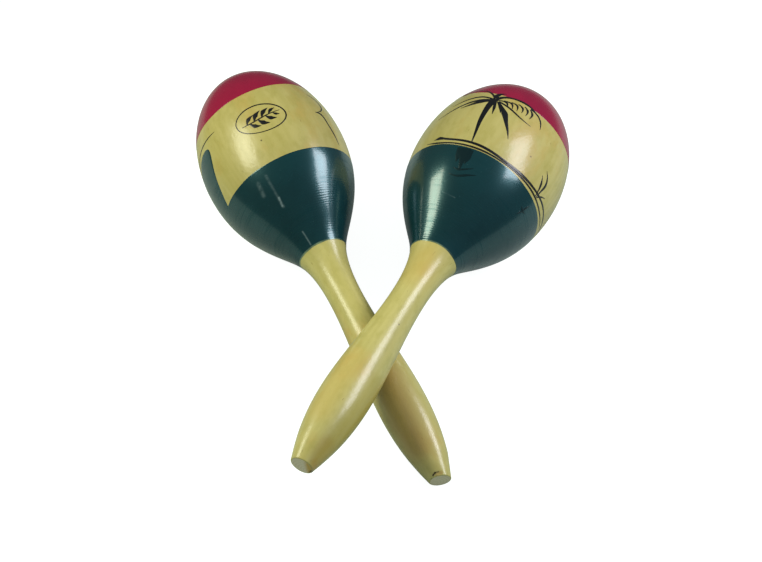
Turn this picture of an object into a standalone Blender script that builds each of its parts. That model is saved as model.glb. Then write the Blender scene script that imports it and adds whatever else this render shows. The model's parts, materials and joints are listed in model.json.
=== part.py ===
"""A pair of turned wooden maracas, lying with their handles crossed.

Each maraca is a solid handle and a hollow head. The head is turned as two shells, a bowl at the
neck and a crown at the top, which meet in a glued rabbet. The handle's tenon is glued into the
bowl, and loose seeds in the head make the sound.

The left maraca lies on its head and its grip. The right one is turned a little larger and lies
on its head and on the left handle. Metres, +Z up, origin at table level under the pair's middle.
"""
import math

import bmesh
import bpy
import numpy as np
from mathutils import Matrix, Vector

# The turned outline of the left maraca, measured along its axis from the butt of the handle.
LENGTH = 0.276
HEAD_RADIUS = 0.040
CROWN_HEIGHT = 0.058
GIRTH_AT = LENGTH - CROWN_HEIGHT
BUTT_RADIUS = 0.0060
BUTT_ROUNDING = 0.0006
STATIONS = (
    (0.000, BUTT_RADIUS),
    (0.014, 0.0097),
    (0.046, 0.0133),
    (0.084, 0.0113),
    (0.122, 0.0091),
    (0.142, 0.0106),
    (0.154, 0.0143),
    (0.166, 0.0219),
    (0.184, 0.0327),
    (GIRTH_AT, HEAD_RADIUS),
)

# Joinery inside the head.
WALL = 0.0050
NECK_BLOCK = 0.0120
TENON_RADIUS = 0.0070
TENON_SHORT = 0.0005
SPIGOT_HEIGHT = 0.0040
RIM_SHARE = 0.4
GLUE_GAP = 0.0003

# The seeds: how many lie in each row of the hexagonal heap, and how they move.
SEED_RADIUS = 0.0024
SEED_PITCH = 0.0054
SEED_ROWS = (3, 4, 4, 3)
SEED_CLEARANCE = 0.0003

# The two maracas: size, where the head meets the handle and where its two shells meet, the
# direction of the axis on the table (0 is +Y, positive is towards -X), and how far from the butt
# the axis crosses the other one in plan. neck_line and glue_line are for a scale of 1.
LEFT = {"name": "left", "scale": 1.0, "neck_line": 0.1522, "glue_line": 0.1970,
        "yaw": math.radians(24.5), "crossing": 0.0748}
RIGHT = {"name": "right", "scale": 1.04, "neck_line": 0.1514, "glue_line": 0.1985,
         "yaw": math.radians(-25.8), "crossing": 0.0915}

# Room between the handles where their axes pass nearest. Both of them taper, so a little beside
# that point the surfaces are about 0.3 mm nearer than this.
HANDLE_GAP = 0.0006

# Fineness of the turned solids.
SEGMENTS = 40
RING_STEP = 0.0100
HEAD_RING_STEP = 0.0065
CROWN_RINGS = 9
SAMPLES = 400

NATURAL = {"colour": (0.47, 0.39, 0.14), "roughness": 0.25}
GREEN = {"colour": (0.008, 0.032, 0.036), "roughness": 0.15}
SEED = {"colour": (0.16, 0.08, 0.03), "roughness": 0.55}


def spline_bending(at, radius):
    """Second derivatives of the cubic spline, free at the first station and level at the last."""
    step = np.diff(at)
    slope = np.diff(radius) / step
    matrix = np.zeros((len(at), len(at)))
    target = np.zeros(len(at))
    matrix[0, 0] = 1.0
    for i in range(1, len(at) - 1):
        matrix[i, i - 1:i + 2] = step[i - 1], 2 * (step[i - 1] + step[i]), step[i]
        target[i] = 6 * (slope[i] - slope[i - 1])
    matrix[-1, -2:] = step[-1], 2 * step[-1]
    target[-1] = -6 * slope[-1]
    return np.linalg.solve(matrix, target)


STATION_AT, STATION_RADIUS = np.array(STATIONS).T
BENDING = spline_bending(STATION_AT, STATION_RADIUS)


def ellipse_radius(along, height, radius):
    """Radius of the half ellipse that closes the crown, at a distance along the axis."""
    share = min(max((along - GIRTH_AT) / height, 0.0), 1.0)
    return radius * math.sqrt(1.0 - share * share)


def outer_radius(along):
    """Radius of the turned outside, at a distance along the axis from the butt."""
    if along >= GIRTH_AT:
        return ellipse_radius(along, CROWN_HEIGHT, HEAD_RADIUS)
    i = min(max(int(np.searchsorted(STATION_AT, along)) - 1, 0), len(STATION_AT) - 2)
    step = STATION_AT[i + 1] - STATION_AT[i]
    after = (along - STATION_AT[i]) / step
    before = 1.0 - after
    bend = (before ** 3 - before) * BENDING[i] + (after ** 3 - after) * BENDING[i + 1]
    line = before * STATION_RADIUS[i] + after * STATION_RADIUS[i + 1]
    return float(line + bend * step * step / 6)


def slope_of(radius_at, along, step=1e-5):
    """Steepness of an outline at a distance along the axis."""
    return (radius_at(along + step) - radius_at(along - step)) / (2 * step)


def inner_radius(along):
    """Radius of the cavity: the outside, moved inwards by the wall's thickness."""
    if along >= GIRTH_AT:
        return ellipse_radius(along, CROWN_HEIGHT - WALL, HEAD_RADIUS - WALL)
    return outer_radius(along) - WALL * math.hypot(1.0, slope_of(outer_radius, along))


def evenly(start, end, step):
    """Distances from start to end, both included, about one step apart."""
    count = max(1, math.ceil(abs(end - start) / step))
    return [start + (end - start) * i / count for i in range(count + 1)]


def crown_arc(height, radius):
    """Points of the crown's quarter ellipse from the widest ring, left out, to the tip."""
    quarter = math.pi / 2
    angles = [quarter * i / CROWN_RINGS for i in range(1, CROWN_RINGS)]
    arc = [(GIRTH_AT + height * math.sin(a), radius * math.cos(a)) for a in angles]
    return arc + [(GIRTH_AT + height, 0.0)]


def handle_outline(neck_line):
    """Flat butt, grip and neck, the shoulder under the head, and the tenon."""
    shoulder = neck_line - GLUE_GAP
    turned = [(along, outer_radius(along)) for along in evenly(BUTT_ROUNDING, shoulder, RING_STEP)]
    tenon_end = neck_line + NECK_BLOCK - TENON_SHORT
    return [(0.0, 0.0), (0.0, BUTT_RADIUS - BUTT_ROUNDING)] + turned + [
        (shoulder, TENON_RADIUS), (tenon_end, TENON_RADIUS), (tenon_end, 0.0)]


def bowl_outline(neck_line, glue_line):
    """Bored neck block, outside, glue face with its spigot, and the lower half of the cavity."""
    bore = TENON_RADIUS + GLUE_GAP
    rim = glue_line - GLUE_GAP
    spigot = outer_radius(glue_line) - WALL * RIM_SHARE - GLUE_GAP
    spigot_end = glue_line + SPIGOT_HEIGHT
    floor = neck_line + NECK_BLOCK
    outside = [(along, outer_radius(along)) for along in evenly(neck_line, rim, HEAD_RING_STEP)]
    inside = [(along, inner_radius(along)) for along in evenly(spigot_end, floor, HEAD_RING_STEP)]
    return [(neck_line, bore)] + outside + [(rim, spigot), (spigot_end, spigot)] + inside + [
        (floor, bore)]


def crown_outline(glue_line):
    """Outside from the tip to the glue line, the recess for the spigot, and the upper cavity."""
    recess = outer_radius(glue_line) - WALL * RIM_SHARE
    recess_end = glue_line + SPIGOT_HEIGHT + GLUE_GAP
    outside = [(along, outer_radius(along)) for along in evenly(GIRTH_AT, glue_line, HEAD_RING_STEP)]
    inside = [(along, inner_radius(along)) for along in evenly(recess_end, GIRTH_AT, HEAD_RING_STEP)]
    return (crown_arc(CROWN_HEIGHT, HEAD_RADIUS)[::-1] + outside
            + [(glue_line, recess), (recess_end, recess)] + inside
            + crown_arc(CROWN_HEIGHT - WALL, HEAD_RADIUS - WALL))


def lathe(name, outline, scale, material, parent):
    """Turn an outline of (along, radius) points about the parent's Z axis into one solid.

    An outline that doesn't begin on the axis is a ring, so its last point joins its first.
    """
    form = bmesh.new()
    verts = [form.verts.new((radius * scale, 0.0, along * scale)) for along, radius in outline]
    edges = [form.edges.new(pair) for pair in zip(verts, verts[1:])]
    if outline[0][1] > 0.0:
        edges.append(form.edges.new((verts[-1], verts[0])))
    bmesh.ops.spin(form, geom=verts + edges, axis=(0, 0, 1), cent=(0, 0, 0),
                   angle=math.tau, steps=SEGMENTS, use_merge=True)
    bmesh.ops.remove_doubles(form, verts=form.verts, dist=1e-7)
    bmesh.ops.recalc_face_normals(form, faces=form.faces)
    return add_object(name, form, material, parent)


def add_object(name, form, material, parent):
    """Make a named object of a bmesh, shaded smooth apart from its real edges."""
    mesh = bpy.data.meshes.new(name)
    form.to_mesh(mesh)
    form.free()
    mesh.shade_smooth()
    mesh.set_sharp_from_angle(angle=math.radians(35))
    mesh.materials.append(material)
    thing = bpy.data.objects.new(name, mesh)
    bpy.context.scene.collection.objects.link(thing)
    thing.parent = parent
    return thing


def add_empty(name, parent=None):
    """Add an empty that carries a group of sub-parts."""
    empty = bpy.data.objects.new(name, None)
    bpy.context.scene.collection.objects.link(empty)
    empty.parent = parent
    return empty


def make_material(name, look):
    """A plain surface with a colour and a roughness."""
    material = bpy.data.materials.new(name)
    material.use_nodes = True
    shader = material.node_tree.nodes["Principled BSDF"]
    shader.inputs["Base Color"].default_value = (*look["colour"], 1.0)
    shader.inputs["Roughness"].default_value = look["roughness"]
    shader.inputs["Metallic"].default_value = 0.0
    return material


def turn(yaw, tilt):
    """Rotation that lays a maraca's axis down, towards +Y, then turns it on the table."""
    return Matrix.Rotation(yaw, 3, "Z") @ Matrix.Rotation(tilt - math.pi / 2, 3, "X")


def lowest(scale, tilt, start, end):
    """Lowest point of a stretch of the turned outside, with the butt's centre at height 0."""
    reach = [start + (end - start) * i / SAMPLES for i in range(SAMPLES + 1)]
    return scale * min(at * math.sin(tilt) - outer_radius(at) * math.cos(tilt) for at in reach)


def bisect(too_low, low, high, rounds=50):
    """Narrow low and high down to the value at which too_low turns from true to false."""
    for _ in range(rounds):
        middle = (low + high) / 2
        if too_low(middle):
            low = middle
        else:
            high = middle
    return (low + high) / 2


def pose(maraca, tilt, butt_height):
    """Butt centre and axis direction, with the axis over the plan crossing point."""
    axis = turn(maraca["yaw"], tilt) @ Vector((0, 0, 1))
    butt = -axis * maraca["crossing"] * maraca["scale"]
    butt.z = butt_height
    return butt, axis


def lay_on_table(maraca):
    """Tilt at which the head and the grip both touch the table, and the height of the butt."""
    scale = maraca["scale"]
    neck = maraca["neck_line"]

    def head_sinks(tilt):
        return lowest(scale, tilt, neck, LENGTH) < lowest(scale, tilt, 0.0, neck)

    tilt = bisect(head_sinks, 0.0, math.radians(30))
    return tilt, -lowest(scale, tilt, 0.0, LENGTH)


def axis_distance(butt_a, axis_a, butt_b, axis_b):
    """Shortest distance between two axes, and where along each of them it is."""
    between = butt_b - butt_a
    cosine = axis_a.dot(axis_b)
    along_a = (between.dot(axis_a) - cosine * between.dot(axis_b)) / (1 - cosine * cosine)
    along_b = (cosine * between.dot(axis_a) - between.dot(axis_b)) / (1 - cosine * cosine)
    return (between + along_b * axis_b - along_a * axis_a).length, along_a, along_b


def lay_on_handle(maraca, other, other_butt, other_axis):
    """Tilt at which the head touches the table and the handle lies on the other handle."""
    scale = maraca["scale"]

    def handles_clear(tilt):
        height = -lowest(scale, tilt, maraca["neck_line"], LENGTH)
        butt, axis = pose(maraca, tilt, height)
        distance, along, other_along = axis_distance(butt, axis, other_butt, other_axis)
        own_radius = scale * outer_radius(along / scale)
        other_radius = other["scale"] * outer_radius(other_along / other["scale"])
        return distance > own_radius + other_radius + HANDLE_GAP

    tilt = bisect(handles_clear, math.radians(-10), math.radians(10))
    return tilt, -lowest(scale, tilt, maraca["neck_line"], LENGTH)


def place(maraca, tilt, height, parent):
    """Add the empty that carries a maraca, with its Z axis on the maraca's axis."""
    butt, _ = pose(maraca, tilt, height)
    carrier = add_empty(maraca["name"] + "_maraca", parent)
    carrier.location = butt
    carrier.rotation_euler = turn(maraca["yaw"], tilt).to_euler()
    return carrier


def room_for_seed(maraca, tilt, height, place_at):
    """Whether a seed with its centre at this point clears the wall of the cavity."""
    butt, axis = pose(maraca, tilt, height)
    scale = maraca["scale"]
    offset = place_at - butt
    along = offset.dot(axis)
    from_axis = (offset - along * axis).length
    steep = math.hypot(1.0, slope_of(inner_radius, along / scale))
    return from_axis + (SEED_RADIUS + SEED_CLEARANCE) * steep <= scale * inner_radius(along / scale)


def seed_places(maraca, tilt, height):
    """Rest centre and upward travel of every seed, heaped over the cavity's lowest point."""
    butt, axis = pose(maraca, tilt, height)
    scale = maraca["scale"]
    reach = evenly(maraca["neck_line"] + NECK_BLOCK, GIRTH_AT, HEAD_RING_STEP / 10)
    heap_at = min(reach, key=lambda at: at * math.sin(tilt) - inner_radius(at) * math.cos(tilt))
    middle = butt + axis * heap_at * scale
    across = Matrix.Rotation(maraca["yaw"], 3, "Z") @ Vector((1, 0, 0))
    forward = Vector((-across.y, across.x, 0))
    row_step = SEED_PITCH * math.sqrt(3) / 2
    for row, count in enumerate(SEED_ROWS):
        ahead = (row - (len(SEED_ROWS) - 1) / 2) * row_step
        for i in range(count):
            aside = (i - (count - 1) / 2) * SEED_PITCH
            centre = middle + forward * ahead + across * aside

            def blocked(drop):
                return not room_for_seed(maraca, tilt, height, centre + Vector((0, 0, drop)))

            deep = HEAD_RADIUS * scale
            low = bisect(blocked, -deep, 0.0)
            high = bisect(lambda rise: not blocked(rise), 0.0, deep)
            yield centre + Vector((0, 0, low)), high - low


def add_seeds(maraca, tilt, height, material, parent):
    """Add the seeds of one head, each with its origin at its centre, on its own slide line."""
    for number, (centre, travel) in enumerate(seed_places(maraca, tilt, height), start=1):
        form = bmesh.new()
        bmesh.ops.create_icosphere(form, subdivisions=2, radius=SEED_RADIUS)
        seed = add_object(f"{maraca['name']}_seed_{number:02d}", form, material, parent)
        seed.location = centre
        seed["travel_m"] = travel


def add_maraca(maraca, tilt, height, parent, materials):
    """Model one maraca: handle, bowl, crown and seeds."""
    carrier = place(maraca, tilt, height, parent)
    name = maraca["name"]
    scale = maraca["scale"]
    neck = maraca["neck_line"]
    glue = maraca["glue_line"]
    lathe(name + "_handle", handle_outline(neck), scale, materials["natural"], carrier)
    lathe(name + "_bowl", bowl_outline(neck, glue), scale, materials["green"], carrier)
    lathe(name + "_crown", crown_outline(glue), scale, materials["natural"], carrier)
    add_seeds(maraca, tilt, height, materials["seed"], parent)


def stand_on_origin(pair):
    """Move the pair so that its box stands on the origin, centred."""
    bpy.context.view_layer.update()
    solids = [thing for thing in bpy.data.objects if thing.type == "MESH"]
    corners = [thing.matrix_world @ vert.co for thing in solids for vert in thing.data.vertices]
    low = [min(corner[i] for corner in corners) for i in range(3)]
    high = [max(corner[i] for corner in corners) for i in range(3)]
    pair.location = (-(low[0] + high[0]) / 2, -(low[1] + high[1]) / 2, -low[2])
    bpy.context.view_layer.update()


def main():
    """Build the pair."""
    for thing in list(bpy.data.objects):
        bpy.data.objects.remove(thing)
    materials = {"natural": make_material("natural_wood", NATURAL),
                 "green": make_material("green_lacquer", GREEN),
                 "seed": make_material("seed", SEED)}
    pair = add_empty("pair")
    left_tilt, left_height = lay_on_table(LEFT)
    left_butt, left_axis = pose(LEFT, left_tilt, left_height)
    right_tilt, right_height = lay_on_handle(RIGHT, LEFT, left_butt, left_axis)
    add_maraca(LEFT, left_tilt, left_height, pair, materials)
    add_maraca(RIGHT, right_tilt, right_height, pair, materials)
    stand_on_origin(pair)


main()
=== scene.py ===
"""Looks of a pair of turned wooden maracas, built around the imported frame.

Each maraca is turned again at a finer step from the outline of its CAD nodes: a lacquered
handle, a green bowl, a natural band and a red cap, with brushed ink on the band. Places on a
maraca are given as a distance along its axis from the butt and an angle about it, 0 on top and
positive to the right, seen from the butt. Metres and radians, unless a name or a table says
millimetres and degrees.
"""
import json
import math

import bmesh
import bpy
import numpy as np
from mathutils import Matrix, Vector

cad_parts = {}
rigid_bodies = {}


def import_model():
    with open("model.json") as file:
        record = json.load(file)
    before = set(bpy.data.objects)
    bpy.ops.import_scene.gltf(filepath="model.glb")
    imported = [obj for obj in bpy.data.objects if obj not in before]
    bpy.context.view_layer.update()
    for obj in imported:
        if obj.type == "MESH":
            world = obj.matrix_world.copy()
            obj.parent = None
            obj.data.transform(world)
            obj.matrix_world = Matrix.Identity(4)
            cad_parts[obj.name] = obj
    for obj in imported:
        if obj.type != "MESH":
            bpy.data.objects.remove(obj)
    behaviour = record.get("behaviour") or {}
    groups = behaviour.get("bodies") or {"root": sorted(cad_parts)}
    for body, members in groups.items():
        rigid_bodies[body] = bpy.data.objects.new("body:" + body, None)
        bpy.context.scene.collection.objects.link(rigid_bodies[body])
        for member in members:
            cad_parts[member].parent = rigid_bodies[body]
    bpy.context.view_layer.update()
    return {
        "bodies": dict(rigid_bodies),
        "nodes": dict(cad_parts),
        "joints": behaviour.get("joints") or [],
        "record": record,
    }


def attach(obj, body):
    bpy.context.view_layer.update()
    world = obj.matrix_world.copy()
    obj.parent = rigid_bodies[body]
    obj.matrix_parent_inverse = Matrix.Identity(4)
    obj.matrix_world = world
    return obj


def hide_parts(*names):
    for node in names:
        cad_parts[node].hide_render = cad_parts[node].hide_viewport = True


MM = 0.001

# Paint borders of each maraca in millimetres from the butt: neck, green to band, band to red.
BORDERS = {"left": (152.2, 197.1, 244.7), "right": (157.4, 206.7, 252.2)}
# Thickness of its shells.
WALL = {"left": 5.0 * MM, "right": 5.2 * MM}

# Fineness of the turned pieces, with finer rings near the butt. Inside, one ring in three is
# enough. A ring below POINT is one vertex. Edges over SHARP are shaded sharp.
SPOKES = 160
ANGLES = np.linspace(0.0, math.tau, SPOKES, endpoint=False)
RING_STEP = 1.6 * MM
INSIDE_STEP = 3 * RING_STEP
NEAR_BUTT = 14 * MM
NEAR_STEP = 0.45 * MM
OUTLINE_STEP = 0.1 * MM
ROUNDING_RINGS = 6
CAP_RINGS = 12
POINT = 1e-7
SHARP = math.radians(40)

# Reading the CAD: rings closer than this are one ring, and a face whose normal points at least
# this much away from the axis belongs to the outside. Past the tip some knots are mirrored.
SAME_RING = 0.2 * MM
MIN_OUTWARD = 0.02
TIP_KNOTS = 5
MIN_RUN = 0.1

# Paint: how thick it is, how far it laps over the joint beneath it, how its edge wavers, and how
# the edge is rounded off, in millimetres from the border and shares of the thickness.
PAINT = 0.10 * MM
PAINT_LAP = 1.0 * MM
PAINT_WAVER = 0.18 * MM
WAVER_GAIN = 1.6
WAVER_TURNS = range(2, 12)
WAVER_WEIGHTS = (0.4, 1.0)
EDGE_ROOM = 1.2 * MM
EDGE_SHAPE = ((-0.40, 1.00), (-0.12, 0.98), (-0.03, 0.80), (0.02, 0.45))
BORDER_SEEDS = {"neck": 11, "green": 23, "red": 37}
CLEARANCE = 0.005 * MM
JOINT = 0.05 * MM
INK = 0.06 * MM

# The tenon: its radius as a share of the neck's, and how far short of the bore's end it stops.
TENON_SHARE = 0.54
TENON_SHORT = 0.5 * MM

# The sawn end: shares of its radius with a ring, how far the cut leans, as a slope to the right
# and upwards, and how much wider the stick is there, as a share all round and to the right. Both
# fade out along the grip.
SAWN_SHARES = (0.0, 0.3, 0.55, 0.75, 0.9)
SAW_LEAN = {"left": (-0.27, -0.05), "right": (-0.02, -0.12)}
BUTT_SWELL = {"left": (-0.045, -0.155), "right": (0.015, 0.015)}
BUTT_END = 13 * MM

# Camera of the reference view.
CAMERA_AT = Vector((-0.0042, -1.2470, 1.4309))
CAMERA_LOOK = Vector((0.0017, 0.66598, -0.74597))
LENS = 165.35
SENSOR = 36.0


# The turned outline

def outward_rings(node, butt, axis, end):
    """Rings of the outside of a turned CAD node, as [along, radius], nearer than end."""
    mesh = node.data
    found = []
    for face in mesh.polygons:
        offset = face.center - butt
        out = offset - offset.dot(axis) * axis
        if face.normal.dot(out) < MIN_OUTWARD * out.length:
            continue
        for index in face.vertices:
            offset = mesh.vertices[index].co - butt
            along = offset.dot(axis)
            if along < end:
                found.append((along, (offset - along * axis).length))
    rings = []
    for along, radius in sorted(found):
        if rings and along - rings[-1][0] < SAME_RING:
            rings[-1][1] = max(rings[-1][1], radius)
        else:
            rings.append([along, radius])
    return rings


def reach_along(node, butt, axis):
    """Smallest and largest distance along the axis of the vertices of a node."""
    found = [(vertex.co - butt).dot(axis) for vertex in node.data.vertices]
    return min(found), max(found)


def spline(at, values, wanted):
    """Natural cubic spline through values given at increasing parameters, read at wanted."""
    step = np.diff(at)
    slope = np.diff(values) / step
    count = len(at)
    matrix = np.eye(count)
    target = np.zeros(count)
    for i in range(1, count - 1):
        matrix[i, i - 1:i + 2] = step[i - 1], 2 * (step[i - 1] + step[i]), step[i]
        target[i] = 6 * (slope[i] - slope[i - 1])
    bend = np.linalg.solve(matrix, target)
    i = np.clip(np.searchsorted(at, wanted) - 1, 0, count - 2)
    after = (wanted - at[i]) / step[i]
    before = 1 - after
    curve = (before ** 3 - before) * bend[i] + (after ** 3 - after) * bend[i + 1]
    return before * values[i] + after * values[i + 1] + curve * step[i] ** 2 / 6


def chord_lengths(points):
    """Running length of a polyline, from 0 at its first point."""
    steps = np.linalg.norm(np.diff(points, axis=0), axis=1)
    return np.concatenate(([0.0], np.cumsum(steps)))


def waver(seed):
    """A seeded wavy line round the axis: sines of whole turns, about PAINT_WAVER high."""
    rng = np.random.default_rng(seed)
    wave = np.zeros(SPOKES)
    weights = 0.0
    for turns in WAVER_TURNS:
        weight = rng.uniform(*WAVER_WEIGHTS) / math.sqrt(turns)
        wave += weight * np.sin(turns * ANGLES + rng.uniform(0, math.tau))
        weights += weight
    return WAVER_GAIN * PAINT_WAVER * wave / weights


class Maraca:
    """Where one maraca lies, and its outer outline from butt to tip, read off the CAD."""

    def __init__(self, frame, name):
        mount = next(m for m in frame["record"]["mounts"] if m["name"] == name + "_butt")
        self.name = name
        self.butt = Vector(mount["pos_m"])
        self.axis = -Vector(mount["axis"]).normalized()
        self.right = Vector((self.axis.y, -self.axis.x, 0.0)).normalized()
        self.up = self.right.cross(self.axis)
        self.handle, self.bowl, self.crown = (
            frame["nodes"][f"{name}_{part}"] for part in ("handle", "bowl", "crown"))
        self.neck, self.green, self.red = (border * MM for border in BORDERS[name])
        self.wall = WALL[name]
        self.read_outline()
        self.tenon_end = reach_along(self.handle, self.butt, self.axis)[1]

    def read_outline(self):
        """Fit a dense outline through the rings of the CAD nodes."""
        neck = reach_along(self.bowl, self.butt, self.axis)[0]
        glue = reach_along(self.crown, self.butt, self.axis)[0]
        rings = (outward_rings(self.handle, self.butt, self.axis, neck - SAME_RING / 2)
                 + outward_rings(self.bowl, self.butt, self.axis, glue - SAME_RING / 2)
                 + outward_rings(self.crown, self.butt, self.axis, math.inf))
        self.flat = rings[0][1]
        rings = np.array(rings[1:])
        rings[-1, 1] = 0.0
        # Carried on past the tip, so that the curve crosses the axis squarely.
        mirrored = rings[-1 - TIP_KNOTS:-1][::-1] * (1.0, -1.0)
        knots = np.concatenate((rings, mirrored))
        arc = chord_lengths(knots)
        tip = arc[len(rings) - 1]
        fine = np.linspace(0.0, tip, math.ceil(tip / OUTLINE_STEP) + 1)
        self.along = spline(arc, knots[:, 0], fine)
        self.radius = np.maximum(spline(arc, knots[:, 1], fine), 0.0)
        self.radius[-1] = 0.0
        self.arc = chord_lengths(np.column_stack((self.along, self.radius)))
        self.slope = np.gradient(self.radius, self.arc)
        self.run = np.gradient(self.along, self.arc)
        self.steep = np.hypot(1.0, self.slope / np.maximum(self.run, MIN_RUN))
        self.start = self.along[0]
        self.tip = self.along[-1]
        self.girth = self.along[np.argmax(self.radius)]
        self.widest = self.radius.max()

    def radius_at(self, along):
        """Radius of the outside at a distance along the axis."""
        return np.interp(along, self.along, self.radius)

    def inner_radius_at(self, along):
        """Radius of the cavity at a distance along the axis."""
        side = self.radius_at(along) - self.wall * np.interp(along, self.along, self.steep)
        share = np.clip((along - self.girth) / (self.tip - self.wall - self.girth), 0.0, 1.0)
        cap = (self.widest - self.wall) * np.sqrt(1.0 - share * share)
        return np.where(along > self.girth, cap, side)

    def skin(self, along, lift=0.0):
        """[along, radius] of the outside, moved out along its normal by lift."""
        run = np.interp(along, self.along, self.run)
        slope = np.interp(along, self.along, self.slope)
        return np.stack((along - lift * slope, self.radius_at(along) + lift * run), axis=-1)

    def steps(self, start, end, step=RING_STEP):
        """Distances along the axis from start to end, evenly spaced over the surface."""
        arcs = np.interp((start, end), self.along, self.arc)
        count = max(1, math.ceil(abs(arcs[1] - arcs[0]) / step))
        return np.interp(np.linspace(arcs[0], arcs[1], count + 1), self.arc, self.along)

    def turned(self, along, radius, angle):
        """Places in the maraca's own space: right, up and along the axis."""
        along, radius, angle = np.broadcast_arrays(along, radius, angle)
        return np.stack((radius * np.sin(angle), radius * np.cos(angle), along), axis=-1)

    def world(self, places):
        """Places in the maraca's own space, moved to the frame."""
        basis = np.array((self.right, self.up, self.axis))
        return np.array(self.butt) + places @ basis

    def on_skin(self, along, angle, lift=0.0):
        """Places on the outside, in the maraca's own space."""
        ring = self.skin(np.asarray(along, float), lift)
        return self.turned(ring[..., 0], ring[..., 1], angle)

    def swell(self, along, angle):
        """How much wider the stick is near its butt than a true turning, as a factor."""
        all_round, rightward = BUTT_SWELL[self.name]
        fade = np.clip(1.0 - along / BUTT_END, 0.0, 1.0)
        return 1.0 + fade * (all_round + rightward * np.sin(angle))

    def on_handle(self, along, angle):
        """A place on the outside with the butt's swell, in the maraca's own space."""
        swell = float(self.swell(along, angle))
        return self.on_skin(along, angle) * (swell, swell, 1.0)


# Turned pieces

def add_object(name, data):
    """A new object in the scene."""
    thing = bpy.data.objects.new(name, data)
    bpy.context.scene.collection.objects.link(thing)
    return thing


def add_piece(name, maraca, places, faces, material):
    """Make a closed mesh piece from places in a maraca's own space, which it also keeps."""
    mesh = bpy.data.meshes.new(name)
    mesh.from_pydata(maraca.world(places).tolist(), [], faces)
    form = bmesh.new()
    form.from_mesh(mesh)
    bmesh.ops.recalc_face_normals(form, faces=form.faces)
    form.to_mesh(mesh)
    form.free()
    keep = mesh.attributes.new("turned", "FLOAT_VECTOR", "POINT")
    keep.data.foreach_set("vector", places.astype(np.float32).ravel())
    mesh.shade_smooth()
    mesh.set_sharp_from_angle(angle=SHARP)
    mesh.materials.append(material)
    piece = add_object(name, mesh)
    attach(piece, maraca.name)
    return piece


def full_ring(ring):
    """A ring as one [along, radius] for every spoke."""
    return np.broadcast_to(ring, (SPOKES, 2))


def lathe(name, maraca, rings, material):
    """A turned piece from rings of [along, radius]. A ring of radius 0 is a single point.

    Rings that neither start nor end on the axis are joined up, last to first.
    """
    places = []
    rows = []
    for ring in rings:
        ring = full_ring(ring)
        if np.all(ring[:, 1] < POINT):
            rows.append([len(places)])
            places.append((0.0, 0.0, ring[0, 0]))
        else:
            rows.append(list(range(len(places), len(places) + SPOKES)))
            places.extend(maraca.turned(ring[:, 0], ring[:, 1], ANGLES))
    if len(rows[0]) > 1 and len(rows[-1]) > 1:
        rows.append(rows[0])
    faces = []
    for low, high in zip(rows, rows[1:]):
        for i in range(SPOKES):
            j = (i + 1) % SPOKES
            if len(low) == 1:
                faces.append((low[0], high[j], high[i]))
            elif len(high) == 1:
                faces.append((low[i], low[j], high[0]))
            else:
                faces.append((low[i], low[j], high[j], high[i]))
    return add_piece(name, maraca, np.array(places), faces, material)


def border_line(maraca, border):
    """A painted border round a maraca, named as its attribute, not quite straight."""
    return getattr(maraca, border) + waver(BORDER_SEEDS[border] + len(maraca.name))


def paint_edge(maraca, border, towards):
    """Rings that round a coat off at its border. towards is the side without the coat, +1 or -1."""
    rings = [maraca.skin(border + towards * along * MM, PAINT * lift)
             for along, lift in EDGE_SHAPE]
    return rings + [maraca.skin(border, CLEARANCE)]


def tenon_radius(maraca):
    """Radius of the handle's tenon."""
    return TENON_SHARE * float(maraca.radius_at(maraca.neck))


def dent(maraca, rings, centre, reach, depth):
    """Rings with a hollow about (millimetres along, degrees round). The rest is millimetres."""
    middle = maraca.on_handle(centre[0] * MM, math.radians(centre[1]))
    dented = []
    for ring in rings:
        ring = np.array(full_ring(ring))
        away = np.linalg.norm(maraca.turned(ring[:, 0], ring[:, 1], ANGLES) - middle, axis=1)
        share = np.clip(1.0 - away / (reach * MM), 0.0, 1.0)
        ring[:, 1] *= 1.0 - depth * MM / maraca.flat * share * share * (3 - 2 * share)
        dented.append(ring)
    return dented


def trued(maraca, ring):
    """A ring of the handle with the butt's swell, and slid along to meet the leaning saw cut."""
    rightward, upward = SAW_LEAN[maraca.name]
    along, radius = full_ring(ring).T
    radius = radius * maraca.swell(along, ANGLES)
    slope = rightward * np.sin(ANGLES) + upward * np.cos(ANGLES)
    slid = along + slope * radius * np.clip(1.0 - along / BUTT_END, 0.0, 1.0)
    return np.column_stack((slid, radius))


def build_handle(maraca, material, chips):
    """Sawn butt, grip and neck, with the tenon that goes into the head."""
    corner = np.linspace(0.0, math.pi / 2, ROUNDING_RINGS)
    first = float(maraca.radius[0])
    rounding = [(maraca.start * (1 - math.cos(a)),
                 maraca.flat + (first - maraca.flat) * math.sin(a)) for a in corner]
    face = [(0.0, maraca.flat * share) for share in SAWN_SHARES]
    shoulder = maraca.neck + PAINT_LAP - JOINT
    near = maraca.steps(maraca.start, NEAR_BUTT, NEAR_STEP)[1:]
    grip = maraca.steps(NEAR_BUTT, shoulder)[1:]
    rings = face + rounding + [maraca.skin(along) for along in np.concatenate((near, grip))]
    rings = [trued(maraca, ring) for ring in rings]
    for chip in chips:
        rings = dent(maraca, rings, *chip)
    tenon = tenon_radius(maraca)
    rings += [(shoulder, tenon), (maraca.tenon_end, tenon), (maraca.tenon_end, 0.0)]
    piece = lathe(maraca.name + "_turned_handle", maraca, rings, material)
    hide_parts(maraca.name + "_handle")
    return piece


def mark_end_grain(piece, material):
    """Give the sawn end of the handle its own material."""
    piece.data.materials.append(material)
    for face in piece.data.polygons[:len(SAWN_SHARES) * SPOKES]:
        face.material_index = 1


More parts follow.
